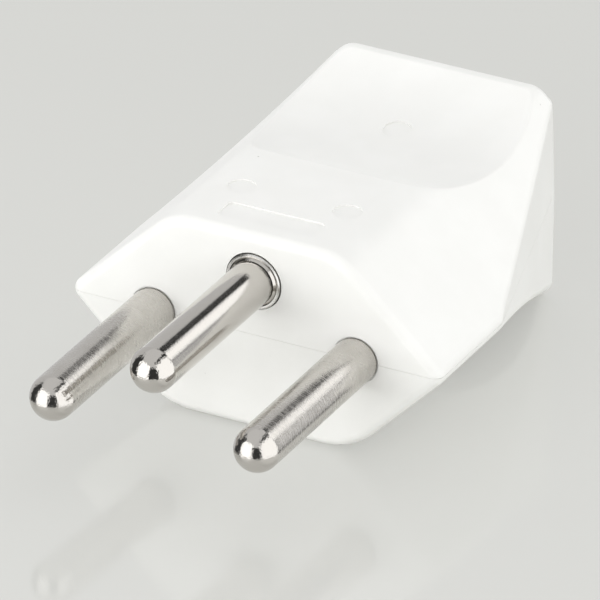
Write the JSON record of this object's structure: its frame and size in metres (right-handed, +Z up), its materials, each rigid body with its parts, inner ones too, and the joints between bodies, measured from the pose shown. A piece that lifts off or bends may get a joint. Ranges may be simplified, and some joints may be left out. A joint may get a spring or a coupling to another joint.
{
  "type": "grounded mains plug",
  "caption": "Re-wirable grounded mains plug with a six-sided white housing, finger grips, round metal pins and a rear cord inlet.",
  "frame": {"origin": "centre of the engagement face, on the line through the line and neutral pins and on the parting plane of the housing", "axes": "-Y the way the pins point, +Y back to the cord inlet, +Z up from the line and neutral pins towards the earth pin, +X to the right of someone who looks along +Y"},
  "size_m": [0.0346, 0.0534, 0.0197],
  "materials": {
    "housing": "moulded white plastic, satin",
    "pins": "turned brass with polished nickel plate",
    "collar": "nickel-plated brass",
    "screws": "zinc-plated steel",
    "clamp": "moulded plastic"
  },
  "bodies": {
    "root": {"upper_shell": "housing", "lower_shell": "housing", "line_pin": "pins", "neutral_pin": "pins", "earth_pin": "pins", "earth_collar": "collar", "line_terminal_screw": "screws", "neutral_terminal_screw": "screws", "earth_terminal_screw": "screws", "cord_clamp": "clamp", "cord_clamp_screw_left": "screws", "cord_clamp_screw_right": "screws", "housing_screw_left": "screws", "housing_screw_right": "screws"}
  },
  "joints": []
}
